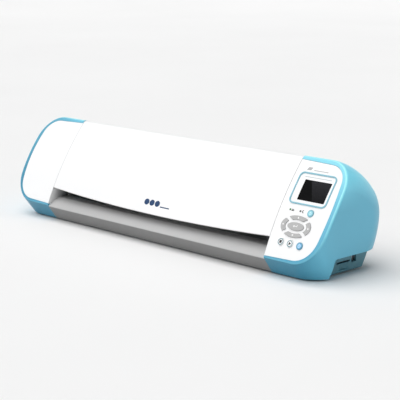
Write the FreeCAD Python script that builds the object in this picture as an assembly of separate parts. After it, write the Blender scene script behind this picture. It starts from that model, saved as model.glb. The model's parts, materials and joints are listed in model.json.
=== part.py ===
"""Desktop vinyl cutter: roll-fed craft cutting plotter with a hinged front lid,
two moulded end caps, a keypad with a small screen, and the feed and tool mechanism.

Design frame while modelling: X along the machine, Y from front to back, Z up,
with z = 0 at the underside of the base pan.  Everything is moved by SHIFT at
export so that the row frame's origin is at the bottom centre of the bounding box."""
import FreeCAD, Part
import math, os

V = FreeCAD.Vector
os.makedirs("parts", exist_ok=True)

# ---------------------------------------------------------------- dimensions
SEAM = 198.5          # half width of the lid bay (end caps start here)
HALF = 277.6          # half length of the machine
BARREL_R, BARREL_Z = 300.0, 78.0     # end face of each cap is a large barrel
END_R = 36.0          # rounding between the end face and the roof, back and lower front
WALL = 2.5            # shell thickness
ROOF_C, ROOF_R = (25.4, 25.04), 106.91
REAR_C, REAR_R = (64.05, 61.09), 54.05
REAR_A = 0.82         # angle from vertical where roof arc meets rear arc
BACK_C, BACK_R = (-25.9, 61.09), 144.0
UNDER0, UNDER1 = (0.5, 0.0), (-14.0, 20.0)   # undercut line of the lower front
NOSE_R = 44.0
FACE_C, FACE_R = (354.228, -133.843), 398.878  # front face: arc swept along X
P0, P1 = (-13.2, 21.4), (53.5, 128.2)          # chord of the front face
CAP_SKIRT_Z = 23.5    # rear and side lower edge of the caps
FOOT_H = 2.0
LIP_END, LIP_MID = 23.4, 17.2   # lid lip height along the face at the seams and at the middle
HINGE_A = 0.42        # hinge position, angle from vertical on the roof arc
HINGE_R = 4.0
PLATEN_Z = 28.0
SHAFT_YZ, SHAFT_R = (58.0, 20.2), 4.0
GRIT_R, PINCH_R = 8.0, 6.5
PINCH_X = (-150.0, 118.0)
PIVOT_YZ = (86.0, 44.0)
ROD_YZ, ROD_R = (66.0, 60.0), 4.0
CAR_X = 166.0         # carriage centre, parked at the right
BELT_Z, BELT_R = 74.0, 6.4
BELT_Y0, BELT_Y1 = 77.0, 83.0
PULLEY_X = (-214.0, 224.0)
GEAR_M, GEAR_N, PINION_N = 0.8, 36, 18
GEAR_BETA = math.radians(50.0)
FRAME_X = 201.5       # inner face of each steel side frame
SHIFT = V(0, -52.325, FOOT_H)

PARTS = {}

def put(name, shape):
    """Keeps a node's solids, checked and moved to the row frame."""
    solids = shape.Solids
    assert solids, name
    if len(solids) == 1:
        out = solids[0]
    else:
        out = Part.makeCompound(solids)
    out = out.copy()
    out.translate(SHIFT)
    PARTS[name] = out
    bad = [s for s in out.Solids if not s.isValid() or s.Volume <= 0]
    b = out.optimalBoundingBox(True, False)
    print("%-24s solids %d  vol %9.1f  x %7.1f %7.1f  y %6.1f %6.1f  z %6.1f %6.1f%s" % (
        name, len(out.Solids), out.Volume, b.XMin, b.XMax, b.YMin, b.YMax, b.ZMin, b.ZMax, "  INVALID" if bad else ""))
    out.exportStep("parts/%s.step" % name)

def box(x0, x1, y0, y1, z0, z1):
    return Part.makeBox(x1 - x0, y1 - y0, z1 - z0, V(x0, y0, z0))

def cylx(y, z, r, x0, x1):
    return Part.makeCylinder(r, x1 - x0, V(x0, y, z), V(1, 0, 0))

def cyly(x, z, r, y0, y1):
    return Part.makeCylinder(r, y1 - y0, V(x, y0, z), V(0, 1, 0))

def cylz(x, y, r, z0, z1):
    return Part.makeCylinder(r, z1 - z0, V(x, y, z0), V(0, 0, 1))

def prism_x(pts, x0, x1):
    """Polygon of (y, z) swept along X."""
    w = Part.makePolygon([V(x0, y, z) for y, z in pts] + [V(x0, pts[0][0], pts[0][1])])
    return Part.Face(w).extrude(V(x1 - x0, 0, 0))

def fuse(shapes):
    s = shapes[0]
    for o in shapes[1:]:
        s = s.fuse(o)
    return s.removeSplitter()

def try_fillet(shape, r, edges, label):
    """Rounds the edges, or leaves them sharp where the radius does not fit."""
    for rr in (r, r * 0.7, r * 0.4):
        try:
            f = shape.makeFillet(rr, edges)
            if f.isValid() and f.Volume > 0 and len(f.Solids) == len(shape.Solids):
                if rr != r:
                    print("   fillet", label, "reduced to", rr)
                return f
        except Exception as e:
            pass
    print("   fillet FAILED", label)
    return shape

# ---------------------------------------------------------------- outer form
def arc_pt(c, r, a):
    """Point on an arc at angle a from vertical, towards +Y."""
    return (c[0] + r * math.sin(a), c[1] + r * math.cos(a))

def under_line(t):
    dy, dz = UNDER1[0] - UNDER0[0], UNDER1[1] - UNDER0[1]
    L = math.hypot(dy, dz)
    u = (dy / L, dz / L)
    n = (u[1], -u[0])          # inward, towards +Y
    return (UNDER0[0] + n[0] * t, UNDER0[1] + n[1] * t), u, n

def nose_centre():
    """Centre of the arc tangent to the undercut line and the roof arc."""
    p, u, n = under_line(NOSE_R)
    # |p + s u - ROOF_C| = ROOF_R - NOSE_R
    d = (p[0] - ROOF_C[0], p[1] - ROOF_C[1])
    b = d[0] * u[0] + d[1] * u[1]
    c = d[0] ** 2 + d[1] ** 2 - (ROOF_R - NOSE_R) ** 2
    s = -b + math.sqrt(b * b - c)
    return (p[0] + s * u[0], p[1] + s * u[1])

def body_profile(t, x):
    """Closed outline of the machine's section, without the front face, inset by t."""
    zb = -6.0
    (py, pz), u, n = under_line(t)
    k = (zb - pz) / u[1]
    a = (py + u[0] * k, zb)
    nc = nose_centre()
    tan1 = (nc[0] - n[0] * (NOSE_R - t), nc[1] - n[1] * (NOSE_R - t))
    d = (nc[0] - ROOF_C[0], nc[1] - ROOF_C[1])
    L = math.hypot(*d)
    dn = (d[0] / L, d[1] / L)
    tan2 = (ROOF_C[0] + dn[0] * (ROOF_R - t), ROOF_C[1] + dn[1] * (ROOF_R - t))
    # middle of the nose arc
    m = ((tan1[0] + tan2[0]) / 2 - nc[0], (tan1[1] + tan2[1]) / 2 - nc[1])
    ml = math.hypot(*m)
    nm = (nc[0] + m[0] / ml * (NOSE_R - t), nc[1] + m[1] / ml * (NOSE_R - t))
    a0 = math.atan2(dn[0], dn[1])
    rm = arc_pt(ROOF_C, ROOF_R - t, (a0 + REAR_A) / 2)
    r1 = arc_pt(ROOF_C, ROOF_R - t, REAR_A)
    r1 = arc_pt(REAR_C, REAR_R - t, REAR_A)
    bm = arc_pt(REAR_C, REAR_R - t, (REAR_A + math.pi / 2) / 2)
    b1 = arc_pt(REAR_C, REAR_R - t, math.pi / 2)
    aend = math.pi / 2 + math.asin((BACK_C[1] - zb) / (BACK_R - t))
    cm = arc_pt(BACK_C, BACK_R - t, (math.pi / 2 + aend) / 2)
    c1 = arc_pt(BACK_C, BACK_R - t, aend)
    P = lambda q: V(x, q[0], q[1])
    e = [Part.LineSegment(P(a), P(tan1)).toShape(),
         Part.Arc(P(tan1), P(nm), P(tan2)).toShape(),
         Part.Arc(P(tan2), P(rm), P(r1)).toShape(),
         Part.Arc(P(r1), P(bm), P(b1)).toShape(),
         Part.Arc(P(b1), P(cm), P(c1)).toShape(),
         Part.LineSegment(P(c1), P(a)).toShape()]
    return Part.Wire(e)

def face_cyl(t, x0, x1):
    return Part.makeCylinder(FACE_R - t, x1 - x0, V(x0, FACE_C[0], FACE_C[1]), V(1, 0, 0))

def prism(t, tf, x0, x1, zmin=0.0):
    """Section swept straight along X: inset t, front face inset tf."""
    s = Part.Face(body_profile(t, x0)).extrude(V(x1 - x0, 0, 0))
    s = s.common(face_cyl(tf, x0 - 1, x1 + 1))
    return s.cut(box(x0 - 2, x1 + 2, -300, 300, -200, zmin))

def end_solid(t, tf, x0, zmin=0.0, end_r=None):
    """Rounded end of the machine (right hand), from x0 to the barrel end face."""
    s = Part.Face(body_profile(t, x0)).extrude(V(320 - x0, 0, 0))
    r = BARREL_R - t
    cx = HALF - BARREL_R
    z0, z1 = -30.0, 200.0
    xa = cx + math.sqrt(r * r - (BARREL_Z - z0) ** 2)
    xb = cx + math.sqrt(r * r - (BARREL_Z - z1) ** 2)
    w = Part.Wire([Part.LineSegment(V(0, -200, z0), V(xa, -200, z0)).toShape(),
                   Part.Arc(V(xa, -200, z0), V(cx + r, -200, BARREL_Z), V(xb, -200, z1)).toShape(),
                   Part.LineSegment(V(xb, -200, z1), V(0, -200, z1)).toShape(),
                   Part.LineSegment(V(0, -200, z1), V(0, -200, z0)).toShape()])
    s = s.common(Part.Face(w).extrude(V(0, 400, 0)))
    rr = (END_R if end_r is None else end_r) - t
    edges = []
    for e in s.Edges:
        b = e.BoundBox
        if b.XMin > x0 + 5 and b.ZMax > -5:
            # edges between the barrel face and the swept sides
            if abs(e.CenterOfMass.z + 6) > 1.0:
                edges.append(e)
    s = s.makeFillet(rr, edges)
    s = s.common(face_cyl(tf, x0 - 1, 400))
    return s.cut(box(x0 - 2, 400, -300, 300, -200, zmin))

# local frame on the front face ------------------------------------------------
_u = ((P1[0] - P0[0]), (P1[1] - P0[1]))
_L = math.hypot(*_u)
CH_U = (_u[0] / _L, _u[1] / _L)
CH_N = (-CH_U[1], CH_U[0])

def face_frame(s):
    """Origin, up direction and outward normal (y, z) of the front face at chord distance s."""
    q = (P0[0] + CH_U[0] * s, P0[1] + CH_U[1] * s)
    d = (q[0] - FACE_C[0], q[1] - FACE_C[1])
    b = d[0] * CH_N[0] + d[1] * CH_N[1]
    c = d[0] ** 2 + d[1] ** 2 - FACE_R ** 2
    k = -b + math.sqrt(b * b - c)
    o = (q[0] + CH_N[0] * k, q[1] + CH_N[1] * k)
    n = ((o[0] - FACE_C[0]) / FACE_R, (o[1] - FACE_C[1]) / FACE_R)
    u = (n[1], -n[0])
    return o, u, n

def local(shape, x, s):
    """Moves a solid from local axes (x right, y up the face, z outward) onto the face at (x, s)."""
    o, u, n = face_frame(s)
    m = FreeCAD.Matrix(1, 0, 0, x,
                       0, u[0], n[0], o[0],
                       0, u[1], n[1], o[1],
                       0, 0, 0, 1)
    r = shape.copy()
    r.transformShape(m)
    return r

def rrect(w, h, r, z0, z1, cx=0.0, cy=0.0):
    """Rounded rectangle slab in local axes."""
    x0, x1, y0, y1 = cx - w / 2, cx + w / 2, cy - h / 2, cy + h / 2
    b = Part.makeBox(w, h, z1 - z0, V(x0, y0, z0))
    ed = [e for e in b.Edges if abs(e.tangentAt(e.FirstParameter).z) > 0.9]
    return b.makeFillet(r, ed)

def ellipse_sector(ao, bo, ai, bi, g, side, z0, z1, grow=0.0):
    """One key of the elliptical pad: the ring between two ellipses, cut by gaps along its diagonals."""
    eo = Part.Face(Part.Wire([Part.Ellipse(V(0, 0, z0), ao + grow, bo + grow).toShape()])).extrude(V(0, 0, z1 - z0))
    ei = Part.Face(Part.Wire([Part.Ellipse(V(0, 0, z0 - 1), ai - grow, bi - grow).toShape()])).extrude(V(0, 0, z1 - z0 + 2))
    ring = eo.cut(ei)
    ang = math.atan2(bo, ao * 1.02)
    big = 60.0
    d1 = (math.cos(ang), math.sin(ang))
    half = g / 2.0 - grow
    off = half / math.sin(ang) if side in ("left", "right") else half / math.cos(ang)
    if side == "up":
        tri = [(0, off), (d1[0] * big, d1[1] * big + off), (-d1[0] * big, d1[1] * big + off)]
    elif side == "down":
        tri = [(0, -off), (-d1[0] * big, -d1[1] * big - off), (d1[0] * big, -d1[1] * big - off)]
    elif side == "right":
        tri = [(off, 0), (d1[0] * big + off, -d1[1] * big), (d1[0] * big + off, d1[1] * big)]
    else:
        tri = [(-off, 0), (-d1[0] * big - off, d1[1] * big), (-d1[0] * big - off, -d1[1] * big)]
    w = Part.makePolygon([V(a, b, z0 - 1) for a, b in tri] + [V(tri[0][0], tri[0][1], z0 - 1)])
    wedge = Part.Face(w).extrude(V(0, 0, z1 - z0 + 2))
    return ring.common(wedge)

def mirror_x(s):
    return s.mirror(V(0, 0, 0), V(1, 0, 0))


# ================================================================ enclosure
HY, HZ = arc_pt(ROOF_C, ROOF_R - HINGE_R, HINGE_A)     # lid hinge axis

def on_face(e, r):
    for k in range(5):
        p = e.valueAt(e.FirstParameter + (e.LastParameter - e.FirstParameter) * k / 4)
        if abs(math.hypot(p.y - FACE_C[0], p.z - FACE_C[1]) - r) > 1e-3:
            return False
    return True

POST = (238.0, 18.0)  # screw post of each cap

# outline of the front panels on the chord of the face, as (x, distance up the chord)
PANEL_C, PANEL_R = (39.4, 64.5), 231.0       # outer edge: a shallow arc
PANEL_B = ((190.0, 0.5), (240.0, 2.0))       # lower edge
PANEL_T = ((190.0, 121.3), (240.0, 119.6))   # upper edge
PANEL_RB, PANEL_RT = 29.5, 24.0              # corner radii

def chord(shape):
    """Moves a solid from local axes (x, up the chord, outward) onto the chord of the face."""
    m = FreeCAD.Matrix(1, 0, 0, 0, 0, CH_U[0], CH_N[0], P0[0], 0, CH_U[1], CH_N[1], P0[1], 0, 0, 0, 1)
    r = shape.copy()
    r.transformShape(m)
    return r

def panel_prism(g):
    """Outline of the right-hand front panel, grown by g, swept square to the chord."""
    def meet(line, off):
        (xa, sa), (xb, sb) = line
        k = (sb - sa) / (xb - xa)
        sa += off * math.sqrt(1 + k * k)
        r = PANEL_R + g
        # x on the arc where it crosses s = sa + k (x - xa)
        d = sa - k * xa - PANEL_C[1]
        A, B, C = 1 + k * k, 2 * (k * d - PANEL_C[0]), PANEL_C[0] ** 2 + d * d - r * r
        x = (-B + math.sqrt(B * B - 4 * A * C)) / (2 * A)
        x0 = SEAM - 6
        return (x0, sa + k * (x0 - xa)), (x, sa + k * (x - xa))
    b0, b1 = meet(PANEL_B, -g)
    t0, t1 = meet(PANEL_T, g)
    z0 = -40.0
    q = lambda c: V(c[0], c[1], z0)
    mid = (PANEL_C[0] + PANEL_R + g, PANEL_C[1])
    w = Part.Wire([Part.LineSegment(q(b0), q(b1)).toShape(), Part.Arc(q(b1), q(mid), q(t1)).toShape(),
                   Part.LineSegment(q(t1), q(t0)).toShape(), Part.LineSegment(q(t0), q(b0)).toShape()])
    s = Part.Face(w).extrude(V(0, 0, 70.0))
    for c, r in ((b1, PANEL_RB + g), (t1, PANEL_RT + g)):
        ed = [e for e in s.Edges if abs(e.CenterOfMass.x - c[0]) < 0.05 and abs(e.CenterOfMass.y - c[1]) < 0.05]
        s = s.makeFillet(r, ed)
    return chord(s)

def end_cap():
    """Right-hand end cap; the left one is its mirror image."""
    outer = end_solid(0, 0, SEAM)
    rim = [e for e in outer.Edges if on_face(e, FACE_R) and e.BoundBox.XMax > SEAM + 1]
    outer = try_fillet(outer, 3.0, rim, "cap rim")
    s = outer.cut(end_solid(WALL, 5.0, SEAM - 10, -5.0))
    # recess for the front panel, with a ledge round a window
    rec = panel_prism(0.4).common(face_cyl(-3.0, 150, 330)).cut(face_cyl(2.6, 150, 330))
    s = s.cut(rec)
    win = end_solid(10.0, -1.0, SEAM + 8, 8.0).cut(face_cyl(8.0, 150, 330))
    s = s.cut(win)
    ret = prism(4.05, -1.0, SEAM - 3, SEAM + 2.2, 19.5).common(box(150, 300, -60, 21.7, 19.5, 64.2))
    s = s.cut(ret)
    # lower rear edge: front part reaches the ground line, the rest stops above the base
    zc = CAP_SKIRT_Z
    low = prism_x([(22.5, -2), (22.6, 3.0), (23.2, zc - 4.0), (23.6, zc - 2.4), (24.6, zc - 1.0), (26.2, zc - 0.2), (27.8, zc), (260, zc), (260, -2)], SEAM - 5, 330)
    s = s.cut(low)
    shelf = end_solid(1.0, 3.0, SEAM).common(box(SEAM, 330, 26.0, 200, zc, zc + 2))
    shelf = shelf.cut(box(150, 253.0, 0, 104.5, 0, 60))
    cheek = end_solid(1.0, 3.0, SEAM).common(prism_x(
        [(20.4, 0.0), (22.5, 0.0), (22.6, 3.0), (23.2, zc - 4.0), (23.6, zc - 2.4), (24.6, zc - 1.0), (26.2, zc - 0.2), (27.8, zc), (27.8, zc + 2), (23.5, zc + 2), (21.0, zc - 3.0)], 255.4, 330))
    s = fuse([s, shelf, cheek])
    # boss for the hinge pin, hung from the roof
    boss = cylx(HY, HZ, HINGE_R, SEAM, 209.0)
    s = s.fuse(boss)
    s = s.cut(cylx(HY, HZ, 2.0, SEAM - 1, 206.0))
    # screw posts standing on the base
    posts = []
    px, py = POST
    post = cylz(px, py, 4.2, 4.6, 26.2)
    rib = box(px - 1.5, px + 1.5, -20.0, py, 23.1, 26.2).fuse(box(px, 290.0, py - 1.5, py + 1.5, 23.1, 26.2))
    posts.append(post.fuse(rib).common(end_solid(1.0, 3.5, SEAM)))
    s = fuse([s] + posts)
    return s.cut(cylz(px, py, 1.5, 4.0, 16.0))

CAP = end_cap()

def bare_panel():
    p = panel_prism(0.0).common(face_cyl(0.3, 150, 330)).cut(face_cyl(2.6, 150, 330))
    p = p.common(box(SEAM, 330, -60, 200, 10, 200))
    ret = prism(4.45, 0.3, SEAM, SEAM + 2.0, 19.9).common(box(150, 300, -60, 21.5, 19.7, 64.0))
    return p.fuse(ret).removeSplitter()

PANEL = bare_panel()

# controls: centre x, distance up the face ------------------------------------
PAD = (230.4, 39.8)
PAD_O, PAD_I = (21.4, 12.8), (15.5, 8.2)
PAD_GAP = 4.3
ENTER = (11.7, 4.7)
ROUND_R = 4.25
MENU, STOP, START, POWER = (244.1, 57.8), (216.9, 19.7), (230.5, 19.5), (244.6, 19.2)
LEDS = ((213.8, 58.2), (228.7, 58.3))
SCREEN = (236.5, 84.0, 39.4, 25.8)
FRAME = (233.6, 85.8, 54.4, 39.9, 6.2, 1.5)
TRAVEL = 0.8

rp = PANEL
cuts = []
for side in ("up", "down", "left", "right"):
    cuts.append(local(ellipse_sector(PAD_O[0], PAD_O[1], PAD_I[0], PAD_I[1], PAD_GAP, side, -6, 4, 0.2), *PAD))
cuts.append(local(Part.Face(Part.Wire([Part.Ellipse(V(0, 0, -6), ENTER[0] + 0.2, ENTER[1] + 0.2).toShape()])).extrude(V(0, 0, 10)), *PAD))
for q in (MENU, STOP, START, POWER):
    cuts.append(local(Part.makeCylinder(ROUND_R + 0.2, 10, V(0, 0, -6)), *q))
for q in LEDS:
    cuts.append(local(Part.makeCylinder(1.3, 10, V(0, 0, -6)), *q))
cuts.append(local(rrect(SCREEN[2], SCREEN[3], 0.8, -8, 4), SCREEN[0], SCREEN[1]))
groove = rrect(FRAME[2], FRAME[3], FRAME[4], -1.3, 4).cut(
    rrect(FRAME[2] - 2 * FRAME[5], FRAME[3] - 2 * FRAME[5], FRAME[4] - FRAME[5], -2, 5))
for c in cuts:
    rp = rp.cut(c)
rp = rp.cut(local(groove, FRAME[0], FRAME[1]))

put("right_end_cap", CAP)
put("left_end_cap", mirror_x(CAP))
put("right_panel", rp)
put("left_panel", mirror_x(PANEL))

ring = rrect(FRAME[2], FRAME[3], FRAME[4], -1.3, 0.35).cut(
    rrect(FRAME[2] - 2 * FRAME[5], FRAME[3] - 2 * FRAME[5], FRAME[4] - FRAME[5], -2, 5))
put("screen_frame", local(ring, FRAME[0], FRAME[1]))
put("screen_glass", local(rrect(SCREEN[2] - 0.2, SCREEN[3] - 0.2, 0.7, -2.7, -0.75), SCREEN[0], SCREEN[1]))
lcd = rrect(46, 34, 1.0, -7.2, -3.1).fuse(rrect(50, 37, 1.0, -8.8, -7.2, -1.0, 0)).removeSplitter()
put("lcd_module", local(lcd, SCREEN[0], SCREEN[1]))

# buttons: a cap through the panel with a flange behind it
def button(top, flange):
    s = top.fuse(flange).removeSplitter()
    return s

def round_button(dome=0.25):
    b = Part.makeCylinder(ROUND_R, 3.9, V(0, 0, -3.1))
    b = try_fillet(b, 0.35, [e for e in b.Edges if abs(e.CenterOfMass.z - 0.8) < 1e-6 and e.Curve.TypeId == "Part::GeomCircle"], "button")
    return button(b, Part.makeCylinder(ROUND_R + 0.8, 0.8, V(0, 0, -3.8)))

for name, q in (("button_menu", MENU), ("button_stop", STOP), ("button_start", START), ("button_power", POWER)):
    put(name, local(round_button(), *q))
for side in ("up", "down", "left", "right"):
    top = ellipse_sector(PAD_O[0], PAD_O[1], PAD_I[0], PAD_I[1], PAD_GAP, side, -3.3, 0.75)
    fl = ellipse_sector(PAD_O[0], PAD_O[1], PAD_I[0], PAD_I[1], PAD_GAP, side, -4.0, -3.2, 0.55)
    put("button_" + side, local(button(top, fl), *PAD))
el = lambda g, z0, z1: Part.Face(Part.Wire([Part.Ellipse(V(0, 0, z0), ENTER[0] + g, ENTER[1] + g).toShape()])).extrude(V(0, 0, z1 - z0))
put("button_enter", local(button(el(0, -3.1, 0.8), el(0.8, -3.8, -3.0)), *PAD))
# control board, flat behind the curved panel
BOARD_S, BOARD_X = 38.5, 231.0
board = rrect(50, 53, 2.0, -11.6, -10.0)
board_top = local(Part.makeBox(300, 300, 40, V(-150, -150, -10.0)), BOARD_X, BOARD_S)
leds = [l.common(board_top) for l in [local(Part.makeCylinder(1.25, 14.0, V(0, 0, -14.0)), *q) for q in LEDS]]
put("indicator_leds", Part.makeCompound(leds))
put("control_board", local(board, BOARD_X, BOARD_S))
sw = []
pads = [(PAD[0], PAD[1] + 10.2), (PAD[0], PAD[1] - 10.2), (PAD[0] - 18.6, PAD[1]), (PAD[0] + 18.6, PAD[1]), PAD]
for q, deep in [(p, 0.45) for p in pads] + [(p, 0.0) for p in (MENU, STOP, START, POWER)]:
    t = Part.makeBox(6, 6, 14, V(-3, -3, -20.2)).fuse(Part.makeCylinder(1.6, 4, V(0, 0, -9.0 - deep)))
    t = t.cut(Part.makeBox(20, 20, 20, V(-10, -10, -4.75 - deep)))
    sw.append(local(t.removeSplitter(), *q).common(board_top))
put("tact_switches", Part.makeCompound(sw))

# ---------------------------------------------------------------- lid
LID_X = SEAM - 0.5
def ridge(s, r, label):
    ed = [e for e in s.Edges if e.BoundBox.XLength > 100 and abs(e.CenterOfMass.y - P1[0]) < 6 and abs(e.CenterOfMass.z - P1[1]) < 6]
    return try_fillet(s, r, ed, label)
lo = ridge(prism(0, 0, -LID_X, LID_X), 7.0, "lid ridge")
li = ridge(prism(WALL, WALL, -LID_X + 2.2, LID_X - 2.2, -2), 5.0, "lid ridge inside")
lf = prism(9.0, 9.0, -LID_X - 1, LID_X + 1, -2)
lid = lo.cut(li).cut(lf).cut(box(-300, 300, HY, 300, -50, 300))
# lower lip: a shallow arc across the face, cut square to the face
arc_r = (LID_X ** 2 + (LIP_END - LIP_MID) ** 2) / (2 * (LIP_END - LIP_MID))
cutter = Part.makeCylinder(arc_r, 400, V(0, 0, -200))
keep = Part.makeBox(500, 400, 400, V(-250, -2, -200))
cutter.translate(V(0, LIP_MID + arc_r, 0))
below = Part.makeBox(500, LIP_END + 200, 400, V(-250, -200, -200)).cut(cutter)
lid = lid.cut(chord(below))
barrel = cylx(HY, HZ, HINGE_R, -LID_X, LID_X)
lid = lid.fuse(barrel).removeSplitter()
lid = lid.cut(cylx(HY, HZ, 2.05, LID_X - 14.5, LID_X + 1)).cut(cylx(HY, HZ, 2.05, -LID_X - 1, -LID_X + 14.5))
put("lid", lid)
pin = cylx(HY, HZ, 2.0, LID_X - 14.0, 206.0)
put("hinge_pins", Part.makeCompound([pin, mirror_x(pin)]))

# ---------------------------------------------------------------- rear cover
RC_X = SEAM - 0.25
SLOT_TOP = 40.0       # the cover ends here; the slot runs between it and the bed's rear lip
rc = prism(0, 0, -RC_X, RC_X, CAP_SKIRT_Z).cut(prism(WALL, WALL, -RC_X - 1, RC_X + 1, -2))
rc = rc.common(box(-300, 300, HY, 300, SLOT_TOP, 300)).cut(cylx(HY, HZ, HINGE_R + 0.5, -300, 300))
# relief along the hinge line, where the open lid's rear edge stands
hn = ((HY - ROOF_C[0]) / (ROOF_R - HINGE_R), (HZ - ROOF_C[1]) / (ROOF_R - HINGE_R))
ht = (hn[1], -hn[0])
tn = lambda t, n: (HY + ht[0] * t + hn[0] * n, HZ + ht[1] * t + hn[1] * n)
rc = rc.cut(prism_x([tn(1.0, 7.0), tn(1.0, 1.0), tn(4.18, 1.0), tn(3.12, 7.0)], -300, 300))
# stiffening flange along the lower edge, over the rear media slot
sh = prism(1.0, 1.0, -RC_X, RC_X, CAP_SKIRT_Z).common(box(-300, 300, 110.0, 200, SLOT_TOP, SLOT_TOP + 2))
rc = rc.fuse(sh).removeSplitter()
put("rear_cover", rc)

# ---------------------------------------------------------------- base pan
PAN_TOP = 22.7
def pan(t, zb):
    e0, e1 = (95.0 - t * 1.15, 0.0), (107.5 - t * 1.15, 18.8)
    k = (e1[0] - e0[0]) / 18.8
    s = prism_x([(4.2 + t, zb), (e0[0] + k * zb, zb), e1, (e1[0], 32.8), (4.2 + t, 32.8)], -255 + t, 255 - t)
    ed = [e for e in s.Edges if e.CenterOfMass.y > 80 and e.BoundBox.ZLength > 8 and abs(e.CenterOfMass.x) > 200]
    s = s.makeFillet(3.0 - t, ed)
    ed = [e for e in s.Edges if e.CenterOfMass.y < 10 and e.BoundBox.ZLength > 10 and abs(e.CenterOfMass.x) > 200]
    s = s.makeFillet(24.0 - t, ed)
    r = end_solid(2.9 + t, 8.0, SEAM - 2, -5.0)
    mid = box(-SEAM + 2, SEAM - 2, -50, 200, -5, 60)
    s1 = s.common(mid)
    s2 = s.common(r)
    s3 = s.common(mirror_x(r))
    s = fuse([s1, s2, s3])
    return s.cut(box(-400, 400, -100, 300, PAN_TOP, 100)) if t == 0 else s
bp = pan(0, 0.0).cut(pan(2.5, 2.5))
USB_Y, USB_Z = 77.8, 12.9
CARD_Y0, CARD_Y1, CARD_Z = 46.6, 71.0, 10.2
bp = bp.cut(box(250, 260, USB_Y - 4.3, USB_Y + 4.3, USB_Z - 4.3, USB_Z + 4.3))
bp = bp.cut(box(250, 260, CARD_Y0, CARD_Y1, CARD_Z, CARD_Z + 2.2))
# finger scoop under the card slot
scoop = Part.makeCylinder(16.0, 20, V(268.6, 58.8, -3.0))
bp = bp.cut(scoop.common(box(240, 260, 49.3, 68.3, 2.4, CARD_Z - 0.1)))
JACK_X, JACK_Z = 226.0, 10.0
bp = bp.cut(cyly(JACK_X, JACK_Z, 4.0, 88, 115))
for sx in (-1, 1):
    x, y = sx * POST[0], POST[1]
    bp = bp.fuse(cylz(x, y, 6.0, 2.0, 4.5)).removeSplitter()
    bp = bp.cut(cylz(x, y, 1.7, -1, 5)).cut(cylz(x, y, 3.2, -1, 2.2))
    for y in (32.0, 80.0):
        bp = bp.cut(cylz(sx * (FRAME_X + 8), y, 1.5, 0.9, 3.0))
    # notch under the return of the front panel
    xa, xb = sorted((sx * 197.8, sx * 201.2))
    bp = bp.cut(box(xa, xb, 0.0, 22.0, 19.3, 40.0))
put("base_pan", bp)

# ================================================================ feed bed
def yz_face(segments):
    return Part.Face(Part.Wire(segments))

AX = SEAM - 0.2
def apron_solid(t):
    """Front tray: undercut front, convex top, flat ledge at the media level."""
    a = (0.8 + t * 1.24, 0.0)
    b = (-12.45 + t * 1.45, 17.9 - t * 0.15)
    c = (5.7, PLATEN_Z - t)
    m = ((b[0] + c[0]) / 2 - 0.7, (b[1] + c[1]) / 2 + 1.25)
    d = (21.8 - t, PLATEN_Z - t)
    e = (21.8 - t, 0.0)
    P = lambda q: V(-AX - (1 if t else 0), q[0], q[1])
    w = [Part.LineSegment(P(a), P(b)).toShape(), Part.Arc(P(b), P(m), P(c)).toShape(),
         Part.LineSegment(P(c), P(d)).toShape(), Part.LineSegment(P(d), P(e)).toShape(), Part.LineSegment(P(e), P(a)).toShape()]
    return yz_face(w).extrude(V(2 * AX + (2 if t else 0), 0, 0))
ap = apron_solid(0)
ap = try_fillet(ap, 1.4, [e for e in ap.Edges if e.BoundBox.XLength > 100 and e.CenterOfMass.y < -10], "apron nose")
ap = ap.cut(apron_solid(WALL)).cut(box(-300, 300, 4.1, 60, -5, 2.6))
put("front_apron", ap)

PX = FRAME_X - 0.2
pl = box(-PX, PX, 22.0, 109.4, PLATEN_Z - 2.5, PLATEN_Z)
pl = pl.fuse(box(-PX + 8, PX - 8, 31, 33, 2.6, PLATEN_Z - 2.4)).fuse(box(-PX + 8, PX - 8, 87.5, 89.5, 2.6, PLATEN_Z - 2.4))
pl = pl.cut(box(-192, 192, 40.5, 45.5, PLATEN_Z - 1.2, PLATEN_Z + 1))
for x in PINCH_X:
    pl = pl.cut(box(x - 10, x + 10, 48.5, 67.5, 20, 40))
# rear lip: carries the sheet out to the line of the rear cover
lip = prism(0, 0, -SEAM + 0.6, SEAM - 0.6, CAP_SKIRT_Z).common(box(-300, 300, 104.5, 200, CAP_SKIRT_Z, PLATEN_Z))
lip = try_fillet(lip, 1.5, [e for e in lip.Edges if e.BoundBox.XLength > 100 and e.CenterOfMass.y > 112 and e.CenterOfMass.z > PLATEN_Z - 0.5], "rear lip")
pl = pl.fuse(lip)
put("platen", pl.removeSplitter())
put("cutting_strip", box(-192, 192, 40.5, 45.5, PLATEN_Z - 1.2, PLATEN_Z))

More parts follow.
